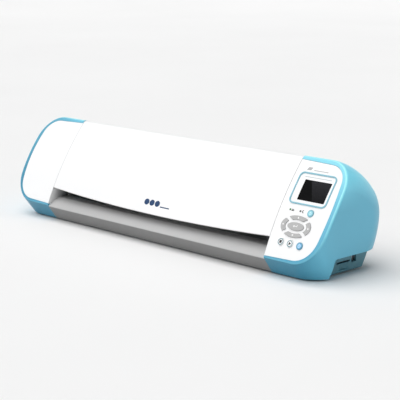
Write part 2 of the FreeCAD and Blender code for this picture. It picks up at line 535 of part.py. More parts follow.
# ================================================================ side frames
def frame(right):
    s = prism(6.0, 9.5, FRAME_X, FRAME_X + 2.0, 2.6).common(box(0, 400, 8.5, 92.0, 2.6, 108.0))
    s = s.fuse(prism(6.0, 9.5, FRAME_X, FRAME_X + 2.0, 20.5).common(box(0, 400, 8.5, 104.0, 20.5, 108.0)))
    s = s.fuse(box(FRAME_X, FRAME_X + 14, 24, 40, 2.5, 4.5)).fuse(box(FRAME_X, FRAME_X + 14, 72, 88, 2.5, 4.5))
    s = s.cut(box(150, 260, 75.0, 86.0, 64.5, 84.0))
    s = s.cut(cylx(PIVOT_YZ[0], PIVOT_YZ[1], 3.05, 150, 260))
    s = s.cut(cylx(ROD_YZ[0], ROD_YZ[1], ROD_R, 150, 260))
    s = s.cut(cylx(SHAFT_YZ[0], SHAFT_YZ[1], 6.0, 150, 260))
    s = s.cut(box(150, 260, 71.9, 100.0, 89.9, 92.1))
    if right:
        s = s.fuse(box(FRAME_X, 245.0, 70.0, 72.0, 54.5, 93.5))
        s = s.cut(cyly(PULLEY_X[1], BELT_Z, 5.0, 60, 80))
    else:
        s = s.fuse(box(FRAME_X, 236.0, 70.0, 72.0, 61.0, 87.0))
        s = s.cut(cyly(-PULLEY_X[0], BELT_Z, 2.5, 60, 80))
        s = s.cut(box(150, 260, 81.0, 88.0, 56.2, 57.2))
    s = s.removeSplitter()
    for y in (32, 80):
        s = s.cut(cylz(FRAME_X + 8, y, 1.6, 0, 6))
    return s
SCREW_XY = [(FRAME_X + 8, 32), (FRAME_X + 8, 80)]
fr, flft = frame(True), mirror_x(frame(False))
MH = 13.0     # half spacing of the motor screws
for dx in (-MH, MH):
    for dz in (-MH, MH):
        fr = fr.cut(cyly(PULLEY_X[1] + dx, BELT_Z + dz, 1.6, 65, 75))
put("right_side_frame", fr)
put("left_side_frame", flft)

# ================================================================ drive
GC = SHAFT_YZ
GD = GEAR_M * (GEAR_N + PINION_N) / 2.0
gphi = math.pi / 2 - GEAR_BETA
PC = (GC[0] + GD * math.cos(gphi), GC[1] + GD * math.sin(gphi))

def gear(n, m, centre, phase, x0, x1, thin=0.11):
    """Involute spur gear on the X axis; angles run from +Y towards +Z, a tooth sits at the phase."""
    rp_ = m * n / 2.0
    ra, rf = rp_ + m, rp_ - 1.25 * m
    al = math.radians(20)
    rb = rp_ * math.cos(al)
    inv = lambda r: math.tan(math.acos(rb / r)) - math.acos(rb / r)
    half = math.pi / (2 * n) - thin / (2 * rp_)
    pts = []
    rs = [max(rb, rf) + (ra - max(rb, rf)) * k / 5.0 for k in range(6)]
    for i in range(n):
        c = phase + 2 * math.pi * i / n
        fl = [(r, half + inv(rp_) - inv(max(r, rb + 1e-9))) for r in rs]
        gap = math.pi / n
        row = [(rf, c - half - inv(rp_) - 0.0)] if rf < rb else []
        row += [(r, c - w) for r, w in fl]
        row += [(r, c + w) for r, w in reversed(fl)]
        row += [(rf, c + half + inv(rp_))] if rf < rb else []
        pts += [(centre[0] + r * math.cos(a), centre[1] + r * math.sin(a)) for r, a in row]
    return prism_x(pts, x0, x1)

ds = cylx(GC[0], GC[1], SHAFT_R, -217.4, 207.5)
for x in PINCH_X:
    ds = ds.fuse(cylx(GC[0], GC[1], GRIT_R, x - 8.0, x + 8.0))
put("drive_shaft", ds.removeSplitter())
g = gear(GEAR_N, GEAR_M, GC, gphi, -215.0, -209.0)
g = g.cut(cylx(GC[0], GC[1], SHAFT_R, -230, -200))
for k in range(5):
    a = gphi + 2 * math.pi * k / 5
    g = g.cut(cylx(GC[0] + 8.8 * math.cos(a), GC[1] + 8.8 * math.sin(a), 2.6, -230, -200))
put("drive_gear", g)
p = gear(PINION_N, GEAR_M, PC, gphi + math.pi + math.pi / PINION_N, -215.5, -208.5)
p = p.fuse(cylx(PC[0], PC[1], 2.5, -240.0, -208.0)).fuse(cylx(PC[0], PC[1], 4.5, -219.0, -215.5)).removeSplitter()
put("motor_pinion", p)
bs = []
for sx in (1, -1):
    b = cylx(GC[0], GC[1], 6.0, 201.6, 205.0).fuse(cylx(GC[0], GC[1], 7.6, 203.5, 205.0)).removeSplitter()
    b = b.cut(cylx(GC[0], GC[1], SHAFT_R + 0.05, 190, 220))
    bs.append(b if sx > 0 else mirror_x(b))
put("shaft_bushings", Part.makeCompound(bs))

MOT = 17.5
def motor(cu, cv, w0, w1, axis):
    """Square stepper motor body with chamfered corners; the axis is X or Y."""
    if axis == "x":
        s = box(w0, w1, cu - MOT, cu + MOT, cv - MOT, cv + MOT)
        ed = [e for e in s.Edges if e.BoundBox.XLength > 5]
    else:
        s = box(cu - MOT, cu + MOT, w0, w1, cv - MOT, cv + MOT)
        ed = [e for e in s.Edges if e.BoundBox.YLength > 5]
    return s.makeChamfer(3.5, ed)
fm = motor(PC[0], PC[1], -250.0, -222.0, "x").cut(cylx(PC[0], PC[1], 2.55, -241.0, -200))
fb = box(-222.0, -220.0, 56.0, 95.0, 14.0, 57.2)
fb = fb.fuse(box(-222.0, -203.5, 60.0, 93.0, 55.2, 57.2)).fuse(box(-222.0, -203.5, 93.0, 95.0, 20.0, 57.2))
fb = fb.fuse(box(-205.5, -203.5, 60.0, 69.6, 55.2, 64.0)).removeSplitter()
fb = fb.cut(cylx(PC[0], PC[1], 5.5, -230, -200)).cut(cylx(GC[0], GC[1], 6.0, -230, -210))
fscrew = []
def screw(length=7.0, r=1.5, hr=2.8, hh=1.8):
    """Pan-head screw along -Z, seat at z = 0, with a cross recess."""
    s = Part.makeCylinder(r, length, V(0, 0, -length)).fuse(Part.makeCylinder(hr, hh, V(0, 0, 0)))
    s = s.removeSplitter()
    s = s.cut(Part.makeBox(3.2, 0.8, 2, V(-1.6, -0.4, hh - 1.0))).cut(Part.makeBox(0.8, 3.2, 2, V(-0.4, -1.6, hh - 1.0)))
    return s
for dy in (-MH, MH):
    for dz in (-MH, MH):
        y, z = PC[0] + dy, PC[1] + dz
        fb = fb.cut(cylx(y, z, 1.6, -230, -215))
        fm = fm.cut(cylx(y, z, 1.5, -227.6, -200))
        c = screw(7.0)
        c.rotate(V(0, 0, 0), V(0, 1, 0), 90)
        c.translate(V(-220.0, y, z))
        fscrew.append(c)
put("feed_motor", fm)
put("feed_motor_bracket", fb)

# carriage drive
cm = motor(PULLEY_X[1], BELT_Z, 47.0, 70.0, "y").cut(cyly(PULLEY_X[1], BELT_Z, 2.55, 58.0, 90))
for dx in (-MH, MH):
    for dz in (-MH, MH):
        cm = cm.cut(cyly(PULLEY_X[1] + dx, BELT_Z + dz, 1.5, 64.4, 80))
        c = screw(7.0)
        c.rotate(V(0, 0, 0), V(1, 0, 0), -90)
        c.translate(V(PULLEY_X[1] + dx, 72.0, BELT_Z + dz))
        fscrew.append(c)
put("carriage_motor", cm)
def pulley(x):
    s = cyly(x, BELT_Z, BELT_R - 0.2, 76.0, 84.0)
    s = s.fuse(cyly(x, BELT_Z, 8.6, 76.0, 77.0)).fuse(cyly(x, BELT_Z, 8.6, 83.0, 84.0))
    return s
dp = pulley(PULLEY_X[1]).fuse(cyly(PULLEY_X[1], BELT_Z, 2.5, 58.5, 85.0)).removeSplitter()
dp = dp.cut(box(PULLEY_X[1] + 1.9, PULLEY_X[1] + 3.2, 84.0, 86.0, BELT_Z - 3, BELT_Z + 3))
put("drive_pulley", dp)
ip = pulley(PULLEY_X[0]).cut(cyly(PULLEY_X[0], BELT_Z, 2.55, 60, 100))
for k in range(4):
    a = math.pi / 4 + k * math.pi / 2
    ip = ip.cut(cyly(PULLEY_X[0] + 4.4 * math.cos(a), BELT_Z + 4.4 * math.sin(a), 0.9, 60, 100))
put("idler_pulley", ip)
idp = cyly(PULLEY_X[0], BELT_Z, 2.5, 70.0, 86.0).fuse(cyly(PULLEY_X[0], BELT_Z, 4.2, 84.3, 86.0)).fuse(cyly(PULLEY_X[0], BELT_Z, 4.2, 72.0, 75.7)).removeSplitter()
put("idler_pin", idp)
def stadium(r, y0, y1):
    s = box(PULLEY_X[0], PULLEY_X[1], y0, y1, BELT_Z - r, BELT_Z + r)
    return s.fuse(cyly(PULLEY_X[0], BELT_Z, r, y0, y1)).fuse(cyly(PULLEY_X[1], BELT_Z, r, y0, y1)).removeSplitter()
put("timing_belt", stadium(BELT_R + 1.0, BELT_Y0 + 0.15, BELT_Y1 - 0.15).cut(stadium(BELT_R, BELT_Y0 - 1, BELT_Y1 + 1)))

# ================================================================ guides
put("guide_rod", cylx(ROD_YZ[0], ROD_YZ[1], ROD_R, -FRAME_X - 2.0, FRAME_X + 2.0))
gr = box(-FRAME_X - 2, FRAME_X + 2, 72.0, 99.0, 90.0, 92.0).fuse(box(-FRAME_X + 0.2, FRAME_X - 0.2, 72.0, 74.0, 84.5, 92.0))
gr = gr.fuse(box(-FRAME_X + 0.2, FRAME_X - 0.2, 97.0, 99.0, 84.5, 92.0)).removeSplitter()
put("guide_rail", gr)

# ================================================================ pinch rollers
RY, RZ = SHAFT_YZ[0], SHAFT_YZ[1] + GRIT_R + 0.1 + PINCH_R
LY, LZ = PIVOT_YZ

def hull2(c0, r0, c1, r1, x0, x1):
    """Link shape: two round ends joined by their outer tangents."""
    d = (c1[0] - c0[0], c1[1] - c0[1])
    L = math.hypot(*d)
    base = math.atan2(d[1], d[0])
    b = math.acos((r0 - r1) / L)
    q = []
    for (c, r) in ((c0, r0), (c1, r1)):
        q.append([(c[0] + r * math.cos(base + s * b), c[1] + r * math.sin(base + s * b)) for s in (1, -1)])
    poly = prism_x([q[0][0], q[1][0], q[1][1], q[0][1]], x0, x1)
    return poly.fuse(cylx(c0[0], c0[1], r0, x0, x1)).fuse(cylx(c1[0], c1[1], r1, x0, x1)).removeSplitter()

def pinch_arm(x):
    s = fuse([hull2((LY, LZ), 5.5, (RY, RZ), 3.6, x - 8.8, x - 6.6),
              hull2((LY, LZ), 5.5, (RY, RZ), 3.6, x + 6.6, x + 8.8),
              cylx(LY, LZ, 5.5, x - 8.8, x + 8.8),
              box(x - 7.0, x + 7.0, 68.0, 82.0, 38.2, 41.0),
              cylx(RY, RZ, 1.5, x - 8.8, x + 8.8)])
    return s.cut(cylx(LY, LZ, 3.05, x - 10, x + 10))
for x, side in zip(PINCH_X, ("left", "right")):
    put("pinch_arm_" + side, pinch_arm(x))
    r = cylx(RY, RZ, PINCH_R, x - 6.2, x + 6.2).cut(cylx(RY, RZ, 1.55, x - 10, x + 10))
    r = try_fillet(r, 0.6, [e for e in r.Edges if e.Curve.TypeId == "Part::GeomCircle" and abs(e.Curve.Radius - PINCH_R) < 1e-6], "roller")
    put("pinch_roller_" + side, r)

def torsion_spring(x0, turns=5, wire=0.45, rad=4.0):
    h = Part.makeHelix(1.15, 1.15 * turns, rad)
    prof = Part.Wire([Part.Circle(V(rad, 0, 0), V(0, 1, 0), wire).toShape()])
    s = Part.Wire(h).makePipeShell([prof], True, True)
    s = s if s.ShapeType == "Solid" else Part.Solid(s)
    s.rotate(V(0, 0, 0), V(0, 1, 0), 90)
    s.translate(V(x0, LY, LZ))
    return s
put("pinch_springs", Part.makeCompound([torsion_spring(PINCH_X[0] + 10.2), torsion_spring(PINCH_X[1] + 10.2)]))

put("lift_shaft", cylx(LY, LZ, 3.0, -FRAME_X - 4.5, FRAME_X + 4.5))
LEV_X = -187.5
TIP = (LY - 60.0 * math.cos(math.radians(8)), LZ - 60.0 * math.sin(math.radians(8)))
lv = hull2((LY, LZ), 6.5, TIP, 3.4, LEV_X - 3, LEV_X + 3).fuse(hull2(TIP, 3.4, (TIP[0] + 9, TIP[1] + 1.26), 3.4, LEV_X - 6, LEV_X + 6))
lv = lv.fuse(cylx(LY, LZ, 6.5, LEV_X - 5, LEV_X + 5)).removeSplitter().cut(cylx(LY, LZ, 3.0, -200, -170))
put("lift_lever", lv)

# ================================================================ carriage
CX0, CX1 = CAR_X - 25.0, CAR_X + 25.0
cb = box(CX0, CX1, 54.0, 76.0, 50.0, 83.3)
cb = cb.cut(box(CX0 + 8.5, CX1 - 8.5, 57.0, 73.0, 67.0, 90))
for a, b in ((CX0, CX0 + 8), (CX1 - 8, CX1)):
    cb = cb.fuse(box(a, b, 69.0, 71.8, 83.0, 89.2)).fuse(box(a, b, 74.2, 76.0, 83.0, 89.2))
cb = cb.fuse(box(CAR_X - 9, CAR_X + 9, 75.5, 84.0, 62.0, 66.3)).fuse(box(CAR_X - 9, CAR_X + 9, 75.5, 83.0, 68.0, 70.2))
for sx in (-1, 1):
    a, b = sorted((CAR_X + sx * 11.2, CAR_X + sx * 16.0))
    cb = cb.fuse(box(a, b, 48.0, 54.5, 52.0, 83.3))
    a, b = sorted((CAR_X + sx * 8.8, CAR_X + sx * 16.0))
    cb = cb.fuse(box(a, b, 48.0, 50.0, 52.0, 83.3))
cb = cb.cut(cylx(ROD_YZ[0], ROD_YZ[1], ROD_R + 0.05, CX0 - 1, CX1 + 1)).removeSplitter()
put("carriage_body", cb)
TY = 42.0
ts = box(CAR_X - 8.5, CAR_X + 8.5, 33.5, 50.2, 46.5, 60.0).fuse(box(CAR_X - 10.9, CAR_X + 10.9, 50.2, 53.8, 48.5, 75.0))
ts = ts.fuse(box(CAR_X - 8.5, CAR_X + 8.5, 49.0, 50.4, 59.0, 75.0)).removeSplitter()
ts = ts.cut(cylz(CAR_X, TY, 5.5, 30, 80)).cut(cyly(CAR_X, 53.2, 1.6, 30, 38))
put("tool_slider", ts)
bh = cylz(CAR_X, TY, 5.5, 35.5, 67.0).fuse(cylz(CAR_X, TY, 7.0, 60.0, 64.0))
bh = bh.fuse(Part.makeCone(1.6, 5.5, 4.0, V(CAR_X, TY, 31.5))).fuse(Part.makeCone(0.25, 0.5, 1.2, V(CAR_X, TY, 30.6))).removeSplitter()
put("blade_holder", bh)
ck = cyly(CAR_X, 53.2, 1.5, 31.0, 36.3).fuse(cyly(CAR_X, 53.2, 5.2, 24.5, 32.9)).removeSplitter()
for k in range(12):
    a = 2 * math.pi * k / 12
    ck = ck.cut(cyly(CAR_X + 5.6 * math.cos(a), 53.2 + 5.6 * math.sin(a), 0.8, 20, 32.95))
put("clamp_knob", ck)
so = box(CAR_X - 11, CAR_X + 11, 58.0, 70.5, 67.0, 92.0)
so = so.fuse(cylz(CAR_X, 64.2, 4.0, 92.0, 96.0)).removeSplitter()
put("tool_solenoid", so)

# ================================================================ electronics
mb = box(206.5, 250.0, 42.0, 91.0, 6.0, 7.6)
mb = mb.cut(cylz(FRAME_X + 8, 80, 3.4, 5.0, 8.0)).cut(box(JACK_X - 5.4, JACK_X + 5.4, 83.6, 92.0, 5.0, 8.0))
for (x, y) in ((217.9, 46), (217.9, 87), (246.5, 46), (246.5, 87)):
    mb = mb.fuse(cylz(x, y, 2.0, 2.5, 6.5))
mb = mb.fuse(box(216, 228, 56, 68, 7.5, 9.4)).fuse(cylz(219, 76, 3.0, 7.5, 15.0)).fuse(box(208, 213, 56, 75.5, 7.5, 14.0)).removeSplitter()
put("main_board", mb)
us = box(238.0, 252.4, USB_Y - 5.7, USB_Y + 5.7, 7.6, 18.3)
us = us.cut(box(243.0, 256, USB_Y - 4.2, USB_Y + 4.2, USB_Z - 4.2, USB_Z + 4.2)).fuse(box(242.5, 250.5, USB_Y - 2.8, USB_Y + 2.8, USB_Z - 1.6, USB_Z + 1.6)).removeSplitter()
put("usb_socket", us)
cs = box(229.0, 252.4, CARD_Y0 - 1.2, CARD_Y1 + 0.9, 7.6, 13.6).cut(box(231.0, 256, CARD_Y0 + 0.1, CARD_Y1 - 0.1, CARD_Z, CARD_Z + 2.2))
put("card_socket", cs)
jk = box(JACK_X - 5.0, JACK_X + 5.0, 84.0, 95.6, 5.8, 14.4).fuse(cyly(JACK_X, JACK_Z, 3.9, 90.0, 99.0)).removeSplitter()
jk = jk.cut(cyly(JACK_X, JACK_Z, 3.1, 92.5, 110)).fuse(cyly(JACK_X, JACK_Z, 0.9, 92.0, 98.5)).removeSplitter()
put("power_socket", jk)

# ================================================================ screws, feet
for sx in (1, -1):
    for (x, y) in SCREW_XY:
        c = screw(3.6)
        c.translate(V(sx * x, y, 4.5))
        fscrew.append(c)
put("frame_screws", Part.makeCompound(fscrew))
hs = []
for sx in (1, -1):
    c = screw(9.0)
    c.rotate(V(0, 0, 0), V(1, 0, 0), 180)
    c.translate(V(sx * POST[0], POST[1], 2.2))
    hs.append(c)
put("housing_screws", Part.makeCompound(hs))
FEET = [(sx * 226.0, y) for sx in (1, -1) for y in (24.0, 84.0)]
ft = []
for (x, y) in FEET:
    f = cylz(x, y, 7.5, -FOOT_H, 0.0)
    f = try_fillet(f, 0.6, [e for e in f.Edges if abs(e.CenterOfMass.z + FOOT_H) < 1e-6 and e.Curve.TypeId == "Part::GeomCircle"], "foot")
    ft.append(f)
put("rubber_feet", Part.makeCompound(ft))

total = None
for s in PARTS.values():
    b = s.optimalBoundingBox(True, False)
    if total is None:
        total = b
    else:
        total.add(b)
print("TOTAL x %.2f %.2f y %.2f %.2f z %.2f %.2f" % (total.XMin, total.XMax, total.YMin, total.YMax, total.ZMin, total.ZMax), len(PARTS))
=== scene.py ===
import json
import math
import bpy
import bmesh
from mathutils import Matrix, Vector


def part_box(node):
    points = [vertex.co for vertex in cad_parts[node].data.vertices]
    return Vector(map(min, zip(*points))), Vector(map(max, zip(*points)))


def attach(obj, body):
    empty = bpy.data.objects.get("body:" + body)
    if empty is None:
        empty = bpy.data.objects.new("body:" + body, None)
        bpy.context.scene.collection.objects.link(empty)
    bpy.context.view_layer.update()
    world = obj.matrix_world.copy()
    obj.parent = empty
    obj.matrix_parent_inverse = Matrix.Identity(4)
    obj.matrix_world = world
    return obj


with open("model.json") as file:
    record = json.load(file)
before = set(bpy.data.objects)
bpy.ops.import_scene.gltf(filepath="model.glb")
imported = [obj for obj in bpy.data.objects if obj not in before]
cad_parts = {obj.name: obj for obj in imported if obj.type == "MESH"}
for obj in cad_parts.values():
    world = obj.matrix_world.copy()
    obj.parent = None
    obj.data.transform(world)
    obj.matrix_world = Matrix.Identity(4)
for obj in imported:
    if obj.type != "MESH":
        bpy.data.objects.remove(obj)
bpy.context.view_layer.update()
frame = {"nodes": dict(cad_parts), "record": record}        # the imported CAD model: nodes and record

NODES = frame["nodes"]
scene = bpy.context.scene

# ------------------------------------------------------------------ geometry of the front face
# The front face is one arc swept along X.  These are the machine's own design numbers, in mm,
# with the shift that puts the row origin under the middle of the machine.
SHIFT_Y, SHIFT_Z = -52.325, 2.0
FACE_C, FACE_R = (354.228, -133.843), 398.878
P0, P1 = (-13.2, 21.4), (53.5, 128.2)
_l = math.hypot(P1[0] - P0[0], P1[1] - P0[1])
CH_U = ((P1[0] - P0[0]) / _l, (P1[1] - P0[1]) / _l)
CH_N = (-CH_U[1], CH_U[0])


def face_frame(s):
    """Point, up direction and outward normal (y, z) of the front face at distance s up it."""
    q = (P0[0] + CH_U[0] * s, P0[1] + CH_U[1] * s)
    d = (q[0] - FACE_C[0], q[1] - FACE_C[1])
    b = d[0] * CH_N[0] + d[1] * CH_N[1]
    c = d[0] ** 2 + d[1] ** 2 - FACE_R ** 2
    k = -b + math.sqrt(b * b - c)
    o = (q[0] + CH_N[0] * k, q[1] + CH_N[1] * k)
    n = ((o[0] - FACE_C[0]) / FACE_R, (o[1] - FACE_C[1]) / FACE_R)
    return o, (n[1], -n[0]), n


def local_matrix(x, s):
    """Local axes on the face: x along the machine, y up the face, z outward.  Local units are mm."""
    o, u, n = face_frame(s)
    m = Matrix(((1, 0, 0, x), (0, u[0], n[0], o[0] + SHIFT_Y), (0, u[1], n[1], o[1] + SHIFT_Z), (0, 0, 0, 1)))
    return Matrix.Scale(0.001, 4) @ m


# ------------------------------------------------------------------ node helpers
class Mat:
    """A small builder for procedural materials."""

    def __init__(self, name):
        self.m = bpy.data.materials.new(name)
        self.m.use_nodes = True
        self.t = self.m.node_tree
        self.n = self.t.nodes
        self.bsdf = next(x for x in self.n if x.type == "BSDF_PRINCIPLED")
        self.coord = self.n.new("ShaderNodeTexCoord")

    def new(self, kind, **props):
        node = self.n.new(kind)
        for k, v in props.items():
            setattr(node, k, v)
        return node

    def link(self, a, b):
        self.t.links.new(a, b)

    def mapped(self, scale=(1, 1, 1), loc=(0, 0, 0)):
        mp = self.new("ShaderNodeMapping")
        mp.inputs["Scale"].default_value = scale
        mp.inputs["Location"].default_value = loc
        self.link(self.coord.outputs["Object"], mp.inputs["Vector"])
        return mp.outputs["Vector"]

    def noise(self, scale, detail=3.0, rough=0.5, vec=None):
        nz = self.new("ShaderNodeTexNoise")
        nz.inputs["Scale"].default_value = scale
        nz.inputs["Detail"].default_value = detail
        nz.inputs["Roughness"].default_value = rough
        self.link(vec if vec is not None else self.coord.outputs["Object"], nz.inputs["Vector"])
        return nz.outputs["Fac"]

    def ramp(self, fac, stops):
        r = self.new("ShaderNodeValToRGB")
        el = r.color_ramp.elements
        while len(el) < len(stops):
            el.new(0.5)
        for e, (p, c) in zip(el, stops):
            e.position = p
            e.color = tuple(c) + (1,) if len(c) == 3 else c
        self.link(fac, r.inputs["Fac"])
        return r.outputs["Color"]

    def remap(self, fac, a, b, lo=0.0, hi=1.0):
        r = self.new("ShaderNodeMapRange")
        r.inputs["From Min"].default_value = lo
        r.inputs["From Max"].default_value = hi
        r.inputs["To Min"].default_value = a
        r.inputs["To Max"].default_value = b
        self.link(fac, r.inputs["Value"])
        return r.outputs["Result"]

    def math(self, op, a, b=None, clamp=False):
        r = self.new("ShaderNodeMath", operation=op, use_clamp=clamp)
        for i, v in enumerate((a, b)):
            if v is None:
                continue
            if hasattr(v, "is_output"):
                self.link(v, r.inputs[i])
            else:
                r.inputs[i].default_value = v
        return r.outputs[0]

    def mix(self, fac, a, b):
        r = self.new("ShaderNodeMix", data_type="RGBA")
        for sock, v in ((r.inputs[0], fac), (r.inputs[6], a), (r.inputs[7], b)):
            if hasattr(v, "is_output"):
                self.link(v, sock)
            elif isinstance(v, (int, float)):
                sock.default_value = v
            else:
                sock.default_value = tuple(v) + (1,) if len(v) == 3 else v
        return r.outputs[2]

    def bump(self, height, strength, distance, previous=None):
        b = self.new("ShaderNodeBump")
        b.inputs["Strength"].default_value = strength
        b.inputs["Distance"].default_value = distance
        self.link(height, b.inputs["Height"])
        if previous is not None:
            self.link(previous, b.inputs["Normal"])
        return b.outputs["Normal"]

    def edge(self, radius=0.0008):
        """0 on flat areas, towards 1 on edges: how far the rounded normal leaves the true one."""
        bv = self.new("ShaderNodeBevel", samples=4)
        bv.inputs["Radius"].default_value = radius
        g = self.new("ShaderNodeNewGeometry")
        d = self.new("ShaderNodeVectorMath", operation="DOT_PRODUCT")
        self.link(bv.outputs["Normal"], d.inputs[0])
        self.link(g.outputs["Normal"], d.inputs[1])
        return self.remap(d.outputs["Value"], 1.0, 0.0, 0.80, 0.99)

    def painted_undercut_shade(self, col, tone, ny=(-0.45, -0.80), nz=(-0.12, -0.42)):
        """Painted shade: multiplies the colour by a darker tone on faces that look forward and down, where less light
        falls.
        """
        g = self.n.new("ShaderNodeNewGeometry")
        nor = self.n.new("ShaderNodeSeparateXYZ")
        self.link(g.outputs["Normal"], nor.inputs[0])
        f = self.math("MULTIPLY", self.remap(nor.outputs["Y"], 0.0, 1.0, *ny), self.remap(nor.outputs["Z"], 0.0, 1.0, *nz))
        return self.tint(f, col, tone)

    def tint(self, fac, col, tone):
        r = self.n.new("ShaderNodeMix")
        r.data_type = "RGBA"
        r.blend_type = "MULTIPLY"
        r.inputs[7].default_value = tuple(tone) + (1,)
        self.link(fac, r.inputs[0])
        self.link(col, r.inputs[6])
        return r.outputs[2]

    def set(self, **values):
        for k, v in values.items():
            sock = self.bsdf.inputs[k.replace("_", " ")]
            if hasattr(v, "is_output"):
                self.link(v, sock)
            elif isinstance(v, (tuple, list)) and len(v) == 3:
                sock.default_value = tuple(v) + (1,)
            else:
                sock.default_value = v
        return self


def scaled(c, k):
    return tuple(min(1.0, x * k) for x in c)


def painted_recess_shade(m):
    """Painted shade mask on the side walls behind the swept front face: 0 on the face itself, rising with depth behind
    it, and already close behind it high up on the left-hand walls, where the lid shades them.
    """
    pos = m.new("ShaderNodeSeparateXYZ")
    m.link(m.coord.outputs["Object"], pos.inputs[0])
    y = m.math("SUBTRACT", pos.outputs["Y"], (FACE_C[0] + SHIFT_Y) * 0.001)
    z = m.math("SUBTRACT", pos.outputs["Z"], (FACE_C[1] + SHIFT_Z) * 0.001)
    rad = m.math("SQRT", m.math("ADD", m.math("MULTIPLY", y, y), m.math("MULTIPLY", z, z)))
    depth = m.math("SUBTRACT", FACE_R * 0.001, rad)
    g = m.new("ShaderNodeNewGeometry")
    nor = m.new("ShaderNodeSeparateXYZ")
    m.link(g.outputs["Normal"], nor.inputs[0])
    side = m.remap(m.math("ABSOLUTE", nor.outputs["X"]), 0.0, 1.0, 0.6, 0.9)
    fade = m.remap(depth, 0.0, 1.0, 0.0020, 0.026)
    left = m.math("MULTIPLY", m.remap(pos.outputs["Z"], 0.0, 1.0, 0.041, 0.046), m.remap(pos.outputs["X"], 1.0, 0.0, -0.01, 0.01))
    close = m.math("MULTIPLY", left, m.remap(depth, 0.2, 0.9, 0.0001, 0.0012))
    return m.math("MULTIPLY", side, m.math("MAXIMUM", fade, close))


def painted_seam_shade(m):
    """Painted shade: a thin darker line where the lid's left edge rolls over into its seam."""
    pos = m.new("ShaderNodeSeparateXYZ")
    m.link(m.coord.outputs["Object"], pos.inputs[0])
    x = pos.outputs["X"]
    return m.math("MULTIPLY", m.remap(x, 1.0, 0.0, -0.1974, -0.1968), m.remap(x, 0.0, 1.0, -0.1983, -0.1981))


def moulded(name, color, rough=0.4, grain=2600.0, grain_h=0.00002, strength=0.25, vary=0.035, wear=0.0,
            wear_color=None, coat=0.0, dust=0.0, spec=0.5, orange=0.0, under_shade=None, recess_shade=None):
    """Injection-moulded plastic: fine spark-eroded grain, soft colour drift, rubbed edges."""
    m = Mat(name)
    drift = m.noise(9.0, 2.0)
    col = m.mix(m.remap(drift, 0.0, 1.0, 0.3, 0.7), scaled(color, 1 - vary), scaled(color, 1 + vary))
    speck = m.noise(grain * 0.55, 2.0, 0.6)
    col = m.mix(m.remap(speck, 0.0, 0.10, 0.35, 0.8), col, scaled(color, 0.82))
    if wear > 0:
        e = m.math("MULTIPLY", m.edge(), m.remap(m.noise(160.0, 4.0, 0.65), 0.0, 1.0, 0.38, 0.62))
        col = m.mix(m.math("MULTIPLY", e, wear), col, wear_color or scaled(color, 1.35))
    if dust > 0:
        g = m.new("ShaderNodeNewGeometry")
        up = m.new("ShaderNodeSeparateXYZ")
        m.link(g.outputs["Normal"], up.inputs[0])
        d = m.math("MULTIPLY", m.remap(up.outputs["Z"], 0.0, 1.0, 0.55, 1.0), m.remap(m.noise(340.0, 5.0, 0.7), 0.0, dust, 0.45, 0.8))
        col = m.mix(d, col, (0.62, 0.60, 0.57))
    if under_shade:
        # painted shade on faces that look forward and down
        col = m.painted_undercut_shade(col, under_shade)
    if recess_shade:
        # painted shade on the side walls behind the front face
        col = m.tint(painted_recess_shade(m), col, recess_shade)
        # painted shade line along the lid's left seam
        col = m.tint(painted_seam_shade(m), col, (0.74, 0.74, 0.75))
    fine = m.noise(grain, 3.0, 0.65)
    broad = m.noise(38.0, 3.0, 0.55)
    r = m.math("ADD", m.remap(fine, rough - 0.05, rough + 0.06), m.remap(broad, -0.045, 0.045), clamp=True)
    nrm = m.bump(fine, strength, grain_h)
    if orange > 0:
        nrm = m.bump(m.noise(420.0, 2.0, 0.4), orange, 0.00006, nrm)
    m.set(Base_Color=col, Roughness=r, Normal=nrm)
    m.set(IOR=1.5, Specular_IOR_Level=spec, Coat_Weight=coat, Coat_Roughness=0.12)
    return m.m


def metal(name, color, rough=0.32, axis=0, brush=0.6, spots=0.0, stretch=60.0, aniso=0.0):
    """Drawn, ground or brushed metal: long fine lines along one axis, a few rub marks and stains."""
    m = Mat(name)
    s = [700.0, 700.0, 700.0]
    s[axis] = 700.0 / stretch
    lines = m.noise(3.0, 4.0, 0.7, m.mapped(tuple(s)))
    cloud = m.noise(55.0, 4.0, 0.6)
    col = m.mix(m.remap(lines, 0.0, 1.0, 0.35, 0.65), scaled(color, 0.86), scaled(color, 1.06))
    col = m.mix(m.remap(cloud, 0.0, 0.25, 0.45, 0.75), col, scaled(color, 0.78))
    r = m.math("ADD", m.remap(lines, rough - 0.07, rough + 0.09), m.remap(cloud, -0.04, 0.06), clamp=True)
    if spots > 0:
        sp = m.noise(900.0, 2.0, 0.5)
        col = m.mix(m.remap(sp, 0.0, spots, 0.66, 0.72), col, scaled(color, 0.45))
    m.set(Base_Color=col, Roughness=r, Metallic=1.0, Normal=m.bump(lines, brush * 0.25, 0.00003))
    return m.m


def rubber(name, color, rough=0.62, grain=1500.0, bloom=0.10):
    m = Mat(name)
    fine = m.noise(grain, 4.0, 0.7)
    cloud = m.noise(70.0, 5.0, 0.65)
    col = m.mix(m.remap(cloud, 0.0, bloom, 0.45, 0.8), color, (0.30, 0.30, 0.29))
    col = m.mix(m.remap(fine, 0.0, 0.25, 0.4, 0.8), col, scaled(color, 0.7))
    m.set(Base_Color=col, Roughness=m.remap(cloud, rough - 0.08, rough + 0.12), Normal=m.bump(fine, 0.35, 0.00005), Specular_IOR_Level=0.35)
    return m.m


